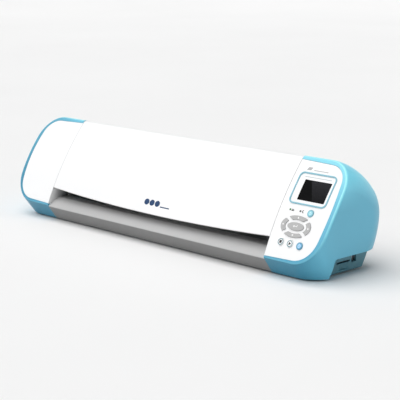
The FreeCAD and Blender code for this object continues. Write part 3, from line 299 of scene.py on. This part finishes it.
def spangle(name, color):
    """Galvanised sheet: crystal patches with differing grey and gloss, thin rolling lines."""
    m = Mat(name)
    v = m.new("ShaderNodeTexVoronoi")
    v.inputs["Scale"].default_value = 210.0
    m.link(m.coord.outputs["Object"], v.inputs["Vector"])
    bw = m.new("ShaderNodeRGBToBW")
    m.link(v.outputs["Color"], bw.inputs[0])
    cell = bw.outputs[0]
    lines = m.noise(3.0, 3.0, 0.6, m.mapped((300.0, 10.0, 300.0)))
    col = m.mix(cell, scaled(color, 0.82), scaled(color, 1.08))
    r = m.math("ADD", m.remap(cell, 0.28, 0.44), m.remap(lines, -0.04, 0.05), clamp=True)
    e = m.edge(0.0006)
    col = m.mix(m.math("MULTIPLY", e, 0.5), col, (0.85, 0.85, 0.84))
    m.set(Base_Color=col, Roughness=r, Metallic=1.0, Normal=m.bump(lines, 0.10, 0.00003))
    return m.m


def ink(name, color, rough=0.5):
    """Pad-printed ink: slightly uneven cover and gloss, a hair of relief."""
    m = Mat(name)
    n = m.noise(2400.0, 3.0, 0.7)
    col = m.mix(m.remap(n, 0.0, 0.18, 0.5, 0.8), color, tuple(min(1.0, c * 1.3 + 0.04) for c in color))
    m.set(Base_Color=col, Roughness=m.remap(n, rough - 0.06, rough + 0.08), Normal=m.bump(n, 0.2, 0.00002))
    return m.m


def board(name):
    """Circuit board: solder mask with darker and lighter copper areas, thin traces, drilled dots."""
    m = Mat(name)
    w = m.new("ShaderNodeTexBrick")
    w.inputs["Scale"].default_value = 260.0
    w.inputs["Mortar Size"].default_value = 0.06
    w.inputs["Brick Width"].default_value = 1.9
    w.inputs["Row Height"].default_value = 0.45
    w.inputs["Color1"].default_value = (0.010, 0.105, 0.045, 1)
    w.inputs["Color2"].default_value = (0.014, 0.135, 0.060, 1)
    w.inputs["Mortar"].default_value = (0.030, 0.235, 0.105, 1)
    m.link(m.mapped((1.0, 1.0, 1.0)), w.inputs["Vector"])
    v = m.new("ShaderNodeTexVoronoi", feature="DISTANCE_TO_EDGE")
    v.inputs["Scale"].default_value = 330.0
    m.link(m.coord.outputs["Object"], v.inputs["Vector"])
    dots = m.noise(700.0, 1.0, 0.4)
    col = m.mix(m.remap(dots, 0.0, 1.0, 0.70, 0.73), w.outputs["Color"], (0.62, 0.60, 0.50))
    m.set(Base_Color=col, Roughness=m.remap(v.outputs["Distance"], 0.28, 0.42), Normal=m.bump(w.outputs["Fac"], 0.3, 0.00004))
    return m.m


# ------------------------------------------------------------------ materials by slot
WHITE = (0.905, 0.91, 0.915)
AQUA = (0.145, 0.508, 0.685)
TEAL = (0.085, 0.245, 0.305)
TRAY = (0.46, 0.46, 0.46)

MATS = {
    # white_shell: recess_shade is the tone of the painted shade on the walls behind the front face
    "white_shell": moulded("white_shell", WHITE, rough=0.34, grain=2200.0, vary=0.008, dust=0.05, orange=0.10, spec=0.45, recess_shade=(0.10, 0.10, 0.105)),
    "aqua_shell": moulded("aqua_shell", AQUA, rough=0.36, grain=2200.0, vary=0.03, wear=0.35, wear_color=(0.33, 0.68, 0.80), dust=0.04, orange=0.12),
    "teal_base": moulded("teal_base", TEAL, rough=0.52, grain=1500.0, grain_h=0.00005, strength=0.45, vary=0.06, wear=0.3, wear_color=(0.12, 0.26, 0.31)),
    # grey_tray: under_shade is the tone of the painted shade on its forward and downward faces
    "grey_tray": moulded("grey_tray", TRAY, rough=0.48, grain=1700.0, grain_h=0.00004, strength=0.4, vary=0.03, wear=0.25, wear_color=(0.66, 0.66, 0.66), dust=0.06, under_shade=(0.46, 0.46, 0.46)),
    "platen_grey": moulded("platen_grey", (0.20, 0.205, 0.21), rough=0.5, grain=1500.0, grain_h=0.00005, strength=0.45, vary=0.05, wear=0.3, dust=0.10),
    "strip_white": moulded("strip_white", (0.80, 0.80, 0.77), rough=0.42, grain=1300.0, vary=0.03),
    "aqua_trim": moulded("aqua_trim", (0.190, 0.450, 0.550), rough=0.30, grain=2400.0, vary=0.02, wear=0.2, wear_color=(0.45, 0.78, 0.86)),
    "blue_key": moulded("blue_key", (0.110, 0.330, 0.480), rough=0.30, grain=2400.0, vary=0.02),
    "key_grey": rubber("key_grey", (0.46, 0.46, 0.46), rough=0.55, grain=1900.0, bloom=0.04),
    "key_white": moulded("key_white", (0.90, 0.905, 0.91), rough=0.32, grain=2400.0, vary=0.01),
    "switch_black": moulded("switch_black", (0.022, 0.022, 0.024), rough=0.46, grain=1700.0, vary=0.08, wear=0.3, wear_color=(0.12, 0.12, 0.12)),
    "gear_white": moulded("gear_white", (0.80, 0.78, 0.70), rough=0.42, grain=1200.0, vary=0.03),
    "carriage_grey": moulded("carriage_grey", (0.055, 0.058, 0.062), rough=0.5, grain=1400.0, grain_h=0.00005, strength=0.5, vary=0.08, wear=0.35, wear_color=(0.2, 0.2, 0.2)),
    "module_metal": metal("module_metal", (0.60, 0.61, 0.62), 0.34, axis=0),
    "socket_metal": metal("socket_metal", (0.66, 0.67, 0.68), 0.28, axis=1),
    "frame_steel": spangle("frame_steel", (0.58, 0.59, 0.60)),
    "shaft_steel": metal("shaft_steel", (0.74, 0.75, 0.76), 0.16, axis=1, brush=0.5),
    "rail_aluminium": metal("rail_aluminium", (0.72, 0.73, 0.74), 0.34, axis=0, stretch=90.0),
    "pinion_brass": metal("pinion_brass", (0.80, 0.58, 0.24), 0.30, axis=0),
    "bushing_bronze": metal("bushing_bronze", (0.55, 0.36, 0.17), 0.42, axis=0, spots=0.5),
    "holder_blue": metal("holder_blue", (0.10, 0.26, 0.55), 0.30, axis=2),
    "screw_zinc": metal("screw_zinc", (0.68, 0.69, 0.66), 0.30, axis=0),
    "spring_steel": metal("spring_steel", (0.42, 0.42, 0.43), 0.26, axis=0),
    "motor_black": moulded("motor_black", (0.030, 0.030, 0.032), rough=0.42, grain=900.0, vary=0.08, wear=0.4, wear_color=(0.35, 0.35, 0.35), orange=0.3),
    "belt_rubber": rubber("belt_rubber", (0.018, 0.018, 0.019), 0.6),
    "roller_rubber": rubber("roller_rubber", (0.11, 0.11, 0.115), 0.6, bloom=0.2),
    "foot_rubber": rubber("foot_rubber", (0.030, 0.030, 0.031), 0.7, bloom=0.25),
    "board_green": board("board_green"),
}


def screen_material():
    """Dark display window: near black, with a painted reflection, a paler area painted across one corner and fading
    towards the bottom, and fine smears in the gloss.
    """
    m = Mat("screen_black")
    sep = m.new("ShaderNodeSeparateXYZ")
    m.link(m.coord.outputs["Object"], sep.inputs[0])
    lo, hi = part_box("screen_glass")
    cx, cz = (lo.x + hi.x) / 2, (lo.z + hi.z) / 2
    # a straight line that leans across the window: positive on its right-hand side
    a = m.math("SUBTRACT", sep.outputs["X"], cx - 0.0035)
    b = m.math("MULTIPLY", m.math("SUBTRACT", sep.outputs["Z"], cz), 0.62)
    side = m.math("ADD", a, b)
    sheen_wedge = m.remap(side, 0.0, 1.0, -0.0006, 0.0006)
    fade = m.remap(sep.outputs["Z"], 0.25, 1.0, lo.z, hi.z)
    # painted reflection: the base colour is paler on the right-hand side of the leaning line, fading towards the bottom
    col = m.mix(m.math("MULTIPLY", sheen_wedge, fade, clamp=True), (0.0020, 0.0022, 0.0025), (0.022, 0.022, 0.025))
    smear = m.noise(120.0, 4.0, 0.6, m.mapped((1.0, 3.0, 1.0)))
    m.set(Base_Color=col, Roughness=m.remap(smear, 0.22, 0.38, 0.35, 0.75), Normal=m.bump(m.noise(60.0, 2.0), 0.03, 0.0001))
    m.set(IOR=1.45, Specular_IOR_Level=0.035)
    return m.m


def led_material():
    """Two lamps in one node: the left one lit green, the right one dark."""
    m = Mat("led_lens")
    sep = m.new("ShaderNodeSeparateXYZ")
    m.link(m.coord.outputs["Object"], sep.inputs[0])
    lo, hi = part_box("indicator_leds")
    right = m.remap(sep.outputs["X"], 0.0, 1.0, (lo.x + hi.x) / 2 - 0.0005, (lo.x + hi.x) / 2 + 0.0005)
    n = m.noise(900.0, 2.0)
    g = m.mix(m.remap(n, 0.0, 0.4), (0.010, 0.13, 0.030), (0.03, 0.22, 0.055))
    col = m.mix(right, g, (0.035, 0.045, 0.040))
    m.set(Base_Color=col, Roughness=m.remap(n, 0.12, 0.24), Coat_Weight=0.5)
    return m.m


def grit_material():
    """Feed shaft: ground steel, with the raised wheels peened to a fine grit."""
    m = Mat("shaft_grit")
    sep = m.new("ShaderNodeSeparateXYZ")
    m.link(m.coord.outputs["Object"], sep.inputs[0])
    lo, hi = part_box("drive_shaft")
    cy, cz, r = (lo.y + hi.y) / 2, (lo.z + hi.z) / 2, (hi.z - lo.z) / 2
    y = m.math("SUBTRACT", sep.outputs["Y"], cy)
    z = m.math("SUBTRACT", sep.outputs["Z"], cz)
    rad = m.math("SQRT", m.math("ADD", m.math("MULTIPLY", y, y), m.math("MULTIPLY", z, z)))
    wheel = m.remap(rad, 0.0, 1.0, r * 0.93, r * 0.97)
    v = m.new("ShaderNodeTexVoronoi")
    v.inputs["Scale"].default_value = 1500.0
    m.link(m.coord.outputs["Object"], v.inputs["Vector"])
    turned = m.noise(3.0, 3.0, 0.6, m.mapped((900.0, 12.0, 12.0)))
    h = m.math("MULTIPLY", v.outputs["Distance"], wheel)
    col = m.mix(wheel, m.mix(turned, (0.60, 0.61, 0.62), (0.76, 0.77, 0.78)), (0.34, 0.34, 0.35))
    rough = m.math("ADD", m.remap(wheel, 0.20, 0.55), m.remap(turned, -0.04, 0.05), clamp=True)
    m.set(Base_Color=col, Roughness=rough, Metallic=1.0, Normal=m.bump(h, 0.8, 0.0003))
    return m.m


def cap_material():
    """Aqua shell plastic. The rounded rim round the front face is glossier and carries a painted highlight line;
    further painted highlights sit high on the face and on upward-facing surfaces, and painted shade darkens the bottom
    of the face, its left-hand end and faces that look forward and down.
    """
    m = Mat("aqua_shell")
    g = m.new("ShaderNodeNewGeometry")
    pos = m.new("ShaderNodeSeparateXYZ")
    m.link(m.coord.outputs["Object"], pos.inputs[0])
    nor = m.new("ShaderNodeSeparateXYZ")
    m.link(g.outputs["Normal"], nor.inputs[0])
    # how squarely the surface looks out of the swept front face: 1 on it, 0 on the sides
    cy, cz = (FACE_C[0] + SHIFT_Y) * 0.001, (FACE_C[1] + SHIFT_Z) * 0.001
    dy = m.math("MULTIPLY", m.math("SUBTRACT", pos.outputs["Y"], cy), 1000.0 / FACE_R)
    dz = m.math("MULTIPLY", m.math("SUBTRACT", pos.outputs["Z"], cz), 1000.0 / FACE_R)
    facing = m.math("ADD", m.math("MULTIPLY", dy, nor.outputs["Y"]), m.math("MULTIPLY", dz, nor.outputs["Z"]))
    face = m.remap(facing, 0.0, 1.0, 0.30, 0.75)
    # mask of the rounded rim round the front face: used for a painted highlight and for lower roughness
    rim = m.math("MULTIPLY", m.remap(facing, 0.0, 1.0, 0.42, 0.82), m.remap(facing, 1.0, 0.0, 0.965, 0.999))
    # painted highlight: a pale band high on the front face, stronger towards the right
    crest_highlight = m.math("MULTIPLY", m.math("MULTIPLY", face, m.remap(pos.outputs["Z"], 0.0, 0.42, 0.088, 0.118)),
                   m.remap(pos.outputs["X"], 0.0, 1.0, -0.10, 0.15))
    radius = m.math("SQRT", m.math("ADD", m.math("MULTIPLY", dy, dy), m.math("MULTIPLY", dz, dz)))
    # painted highlight on surfaces just behind the front face, high up, off the face itself
    brow_highlight = m.math("MULTIPLY", m.remap(radius, 0.0, 0.80, 0.895, 0.985), m.remap(pos.outputs["Z"], 0.0, 1.0, 0.080, 0.112))
    brow_highlight = m.math("MULTIPLY", brow_highlight, m.math("SUBTRACT", 1.0, face))
    high = m.remap(pos.outputs["Z"], 0.10, 1.0, 0.015, 0.10)
    # painted highlight on upward-facing surfaces away from the front face
    shoulder_highlight = m.math("MULTIPLY", m.remap(nor.outputs["Z"], 0.0, 1.0, 0.10, 0.62), m.remap(facing, 1.0, 0.0, 0.75, 0.97))
    drift = m.noise(9.0, 2.0)
    col = m.mix(m.remap(drift, 0.0, 1.0, 0.3, 0.7), scaled(AQUA, 0.97), scaled(AQUA, 1.03))
    speck = m.noise(1300.0, 2.0, 0.6)
    col = m.mix(m.remap(speck, 0.0, 0.10, 0.35, 0.8), col, scaled(AQUA, 0.82))
    # noise that breaks up the painted highlights
    highlight_breakup = m.noise(150.0, 4.0, 0.65)
    col = m.mix(m.math("MULTIPLY", shoulder_highlight, m.remap(highlight_breakup, 0.88, 1.0, 0.3, 0.6)), col, (0.240, 0.800, 1.000))
    # painted highlight: a paler line along the upper part of the rim
    col = m.mix(m.math("MULTIPLY", m.math("MULTIPLY", rim, high), m.remap(highlight_breakup, 0.8, 1.0, 0.3, 0.6)), col, (0.40, 0.93, 1.00))
    col = m.mix(m.math("MULTIPLY", brow_highlight, m.remap(highlight_breakup, 0.9, 1.0, 0.3, 0.6)), col, (0.245, 0.800, 1.000))
    # painted highlight high on the front face
    col = m.mix(crest_highlight, col, (0.36, 0.90, 1.00))
    # painted shade: the front face darker towards its bottom
    low_shade = m.math("MULTIPLY", face, m.remap(pos.outputs["Z"], 1.0, 0.0, 0.034, 0.096))
    col = m.tint(low_shade, col, (0.70, 0.76, 0.81))
    # painted shade: the front face darker at its left-hand end
    left_end_shade = m.math("MULTIPLY", face, m.remap(pos.outputs["X"], 1.0, 0.0, -0.266, -0.215))
    col = m.tint(left_end_shade, col, (0.56, 0.68, 0.73))
    # painted shade on faces that look forward and down
    col = m.painted_undercut_shade(col, (0.30, 0.51, 0.56), (-0.30, -0.80), (-0.15, -0.45))
    fine = m.noise(2200.0, 3.0, 0.65)
    broad = m.noise(38.0, 3.0, 0.55)
    r = m.math("ADD", m.remap(fine, 0.30, 0.40), m.remap(broad, -0.05, 0.05), clamp=True)
    r = m.math("SUBTRACT", r, m.math("MULTIPLY", rim, 0.12), clamp=True)
    nrm = m.bump(m.noise(420.0, 2.0, 0.4), 0.12, 0.00006, m.bump(fine, 0.25, 0.00002))
    m.set(Base_Color=col, Roughness=r, Normal=nrm)
    m.set(IOR=1.5, Specular_IOR_Level=0.38)
    return m.m


MATS["aqua_shell"] = cap_material()
MATS["screen_black"] = screen_material()
MATS["led_lens"] = led_material()

slot_of = {s["node"]: s["material_slot"] for s in frame["record"]["subparts"]}
for name, o in NODES.items():
    mat = MATS[slot_of[name]]
    o.data.materials.clear()
    o.data.materials.append(mat)
NODES["drive_shaft"].data.materials[0] = grit_material()

# ------------------------------------------------------------------ printed marks and small trim
INK_LIGHT = ink("ink_light", (0.86, 0.86, 0.86))
INK_DARK = ink("ink_dark", (0.018, 0.018, 0.020))
INK_GREY = ink("ink_grey", (0.045, 0.050, 0.050))
INK_PALE = ink("ink_pale", (0.56, 0.60, 0.62))
# dark aqua ink for the painted shade rings on the stop and start keys
INK_KEY_SHADE = ink("ink_key_shade", (0.075, 0.210, 0.250))
INK_SKY = ink("ink_sky", (0.62, 0.86, 0.95))
INK_CYAN = ink("ink_cyan", (0.30, 0.66, 0.74))
INK_BLUE = ink("ink_blue", (0.24, 0.50, 0.78))


def plate(name, outlines, matrix, z, mat, body, holes=(), thick=0.09):
    """Thin flat mark: outlines in local mm, raised a hair over the surface it is printed on."""
    bm = bmesh.new()
    for pts in outlines:
        vs = [bm.verts.new(matrix @ Vector((x, y, z))) for x, y in pts]
        f = bm.faces.new(vs)
    geo = bmesh.ops.extrude_face_region(bm, geom=list(bm.faces))
    up = (matrix.to_3x3() @ Vector((0, 0, 1))).normalized() * (-thick * 0.001)
    bmesh.ops.translate(bm, verts=[g for g in geo["geom"] if isinstance(g, bmesh.types.BMVert)], vec=up)
    bmesh.ops.recalc_face_normals(bm, faces=bm.faces)
    me = bpy.data.meshes.new(name)
    bm.to_mesh(me)
    bm.free()
    o = bpy.data.objects.new(name, me)
    scene.collection.objects.link(o)
    me.materials.append(mat)
    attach(o, body)
    return o


def ring_pts(r0, r1, a0=0.0, a1=360.0, n=48, ex=1.0, cx=0.0, cy=0.0):
    """Quads of a flat ring or arc, as separate outlines."""
    out = []
    steps = max(3, int(n * abs(a1 - a0) / 360.0))
    for i in range(steps):
        a, b = (math.radians(a0 + (a1 - a0) * (i + k) / steps) for k in (0, 1))
        out.append([(cx + r0 * ex * math.cos(a), cy + r0 * math.sin(a)), (cx + r1 * ex * math.cos(a), cy + r1 * math.sin(a)),
                    (cx + r1 * ex * math.cos(b), cy + r1 * math.sin(b)), (cx + r0 * ex * math.cos(b), cy + r0 * math.sin(b))])
    return out


def strip(name, quads, matrix, z, mat, body, thick=0.09):
    """As plate, but the quads share their edges (one welded piece)."""
    bm = bmesh.new()
    for pts in quads:
        bm.faces.new([bm.verts.new(matrix @ Vector((x, y, z))) for x, y in pts])
    bmesh.ops.remove_doubles(bm, verts=bm.verts, dist=1e-7)
    geo = bmesh.ops.extrude_face_region(bm, geom=list(bm.faces))
    up = (matrix.to_3x3() @ Vector((0, 0, 1))).normalized() * (-thick * 0.001)
    bmesh.ops.translate(bm, verts=[g for g in geo["geom"] if isinstance(g, bmesh.types.BMVert)], vec=up)
    bmesh.ops.recalc_face_normals(bm, faces=bm.faces)
    me = bpy.data.meshes.new(name)
    bm.to_mesh(me)
    bm.free()
    o = bpy.data.objects.new(name, me)
    scene.collection.objects.link(o)
    me.materials.append(mat)
    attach(o, body)
    return o


def disc(r, n=32, ex=1.0, cx=0.0, cy=0.0):
    return [(cx + r * ex * math.cos(2 * math.pi * i / n), cy + r * math.sin(2 * math.pi * i / n)) for i in range(n)]


PAD = (230.4, 39.8)
MENU, STOP, START, POWER = (244.1, 57.8), (216.9, 19.7), (230.5, 19.5), (244.6, 19.2)
LEDS = ((213.8, 58.2), (228.7, 58.3))
TOP, EPS = 0.8, 0.03

MP = local_matrix(*PAD)


def tri(cx, cy, r, ang):
    return [(cx + r * math.cos(math.radians(ang + k)), cy + r * math.sin(math.radians(ang + k))) for k in (0, 125, 235)]


plate("mark_up", [tri(0, 10.4, 1.55, 90)], MP, 0.75 + EPS, INK_LIGHT, "key_up")
plate("mark_down", [tri(0, -10.4, 1.55, -90)], MP, 0.75 + EPS, INK_LIGHT, "key_down")
plate("mark_left", [tri(-18.4, 0, 1.55, 180)], MP, 0.75 + EPS, INK_LIGHT, "key_left")
plate("mark_right", [tri(18.4, 0, 1.55, 0)], MP, 0.75 + EPS, INK_LIGHT, "key_right")
# return arrow on the middle key
plate("mark_enter", [[(-3.6, 0.0), (-1.6, 1.5), (-1.6, -1.5)], [(-1.7, -0.35), (2.6, -0.35), (2.6, 0.35), (-1.7, 0.35)],
                     [(1.9, 0.35), (2.6, 0.35), (2.6, 1.9), (1.9, 1.9)]], MP, TOP + EPS, INK_LIGHT, "key_enter")
# round keys; the dark rings on the stop and start keys are painted shade for the keys' sides and their shadows
ms = local_matrix(*STOP)
strip("shade_ring_stop", ring_pts(2.95, 3.88), ms, TOP + EPS, INK_KEY_SHADE, "key_stop")
plate("mark_stop", [[(-1.7, -1.7), (1.7, -1.7), (1.7, 1.7), (-1.7, 1.7)]], ms, TOP + EPS, INK_DARK, "key_stop")
mt = local_matrix(*START)
strip("shade_ring_start", ring_pts(2.95, 3.88), mt, TOP + EPS, INK_KEY_SHADE, "key_start")
plate("mark_start", [[(-1.4, -1.95), (2.1, 0.0), (-1.4, 1.95)]], mt, TOP + EPS, INK_DARK, "key_start")
mw = local_matrix(*POWER)
plate("face_power", [disc(2.95)], mw, TOP + EPS, INK_BLUE, "key_power")
strip("mark_power_ring", ring_pts(1.25, 1.8, 125, 415), mw, TOP + 2 * EPS, INK_SKY, "key_power")
plate("mark_power_bar", [[(-0.3, 0.3), (0.3, 0.3), (0.3, 2.3), (-0.3, 2.3)]], mw, TOP + 2 * EPS, INK_SKY, "key_power")
mm = local_matrix(*MENU)
plate("face_menu", [disc(2.95)], mm, TOP + EPS, INK_CYAN, "key_menu")
strip("mark_menu_ring", ring_pts(1.0, 1.6, 200, 520), mm, TOP + 2 * EPS, INK_SKY, "key_menu")
plate("mark_menu_bar", [[(-0.3, -0.2), (0.3, -0.2), (0.3, 1.3), (-0.3, 1.3)]], mm, TOP + 2 * EPS, INK_SKY, "key_menu")
# panel print: bar over the screen, two small signs beside the lamps
SURF = -0.3 + EPS
strip("print_bar", [[(-19.6 + 39.2 * i / 8, -0.75), (-19.6 + 39.2 * (i + 1) / 8, -0.75), (-19.6 + 39.2 * (i + 1) / 8, 0.55), (-19.6 + 39.2 * i / 8, 0.55)] for i in range(8)],
      local_matrix(234.0, 100.4), SURF, INK_PALE, "body")
mi = local_matrix(LEDS[0][0] + 4.0, LEDS[0][1])
plate("print_ready", [[(-2.0, -1.4), (1.9, -1.4), (1.9, -0.35), (-2.0, -0.35)], [(-1.5, -0.2), (-0.2, -0.2), (-0.2, 1.3), (-1.5, 1.3)], [(0.25, -0.2), (1.5, -0.2), (1.5, 0.8), (0.25, 0.8)]],
      mi, SURF, INK_GREY, "body")
mj = local_matrix(LEDS[1][0] + 4.2, LEDS[1][1])
strip("print_busy", ring_pts(0.85, 1.85, 70, 300), mj, SURF, INK_GREY, "body")

# plain badges with no lettering: three dots and a bar on the lid, two bars on the keypad panel
INK_NAVY = ink("ink_navy", (0.002, 0.040, 0.130))
INK_MIST = ink("ink_mist", (0.42, 0.42, 0.43))
ml = local_matrix(5.0, 31.4)
plate("badge_dots", [disc(3.9, 36, 1.12, -18.2), disc(3.9, 36, 1.12, -8.6), disc(3.9, 36, 1.12, 1.0)], ml, EPS, INK_NAVY, "lid")
plate("badge_bar", [[(7.2, -3.9), (23.5, -3.9), (23.5, -2.5), (7.2, -2.5)]], ml, EPS, INK_NAVY, "lid")
mb = local_matrix(230.0, 110.6)
plate("badge_panel", [[(-17.8, -1.9), (-11.6, -1.9), (-9.8, 1.9), (-16.0, 1.9)], [(-7.4, -1.9), (13.5, -1.9), (13.9, -0.9), (-7.0, -0.9)]],
      mb, SURF, INK_MIST, "body")

# ------------------------------------------------------------------ floor, light, camera
def floor_material():
    m = Mat("studio_floor")
    n = m.noise(1.6, 3.0)
    col = m.mix(m.remap(n, 0.0, 1.0, 0.3, 0.7), (0.87, 0.87, 0.87), (0.89, 0.89, 0.89))
    m.set(Base_Color=col, Roughness=m.remap(n, 0.75, 0.9), Specular_IOR_Level=0.1)
    return m.m


bm = bmesh.new()
cols, rows = 48, 64
R = 9.0
ring = []
for j in range(rows + 1):
    rad = R * (j / rows) ** 2.0
    rise = 0.0 if rad < 5.0 else (rad - 5.0) ** 2 * 0.16
    ring.append([bm.verts.new((rad * math.cos(2 * math.pi * i / cols), rad * math.sin(2 * math.pi * i / cols), rise - 0.0002)) for i in range(cols)] if j else None)
centre = bm.verts.new((0, 0, -0.0002))
for i in range(cols):
    bm.faces.new((centre, ring[1][i], ring[1][(i + 1) % cols]))
    for j in range(1, rows):
        bm.faces.new((ring[j][i], ring[j + 1][i], ring[j + 1][(i + 1) % cols], ring[j][(i + 1) % cols]))
me = bpy.data.meshes.new("studio_floor")
bm.to_mesh(me)
bm.free()
for p in me.polygons:
    p.use_smooth = True
floor = bpy.data.objects.new("studio_floor", me)
scene.collection.objects.link(floor)
me.materials.append(floor_material())

world = bpy.data.worlds.new("studio")
scene.world = world
world.use_nodes = True
bg = world.node_tree.nodes["Background"]
bg.inputs["Color"].default_value = (1.0, 1.0, 1.0, 1)
bg.inputs["Strength"].default_value = 0.20


def sun(name, direction, strength, angle, color=(1, 1, 1)):
    """Broad soft light from a direction (the way towards the light)."""
    d = bpy.data.lights.new(name, "SUN")
    d.energy = strength
    d.angle = math.radians(angle)
    d.color = color
    o = bpy.data.objects.new(name, d)
    o.rotation_euler = Vector(direction).to_track_quat("Z", "Y").to_euler()
    scene.collection.objects.link(o)
    return o


def area(name, loc, target, size, power, color=(1, 1, 1)):
    d = bpy.data.lights.new(name, "AREA")
    d.shape = "RECTANGLE"
    d.size, d.size_y = size
    d.energy = power
    d.color = color
    o = bpy.data.objects.new(name, d)
    o.location = loc
    o.rotation_euler = (Vector(target) - Vector(loc)).to_track_quat("-Z", "Y").to_euler()
    scene.collection.objects.link(o)
    return o


sun("key_soft", (-0.20, -0.40, 1.0), 2.75, 80)

# the viewpoint: azimuth 45.7 degrees, elevation 11.8 degrees, long lens
cam = bpy.data.cameras.new("camera")
cam.sensor_width = 36.0
cam.lens = 113.63
cam.clip_end = 60.0
co = bpy.data.objects.new("camera", cam)
az, el = math.radians(45.7), math.radians(11.77)
back = Vector((math.sin(az) * math.cos(el), -math.cos(az) * math.cos(el), math.sin(el)))
co.location = (1.13739, -1.08233, 0.37550)
co.rotation_euler = (-back).to_track_quat("-Z", "Y").to_euler()
scene.collection.objects.link(co)
scene.camera = co
scene.view_settings.view_transform = "Standard"
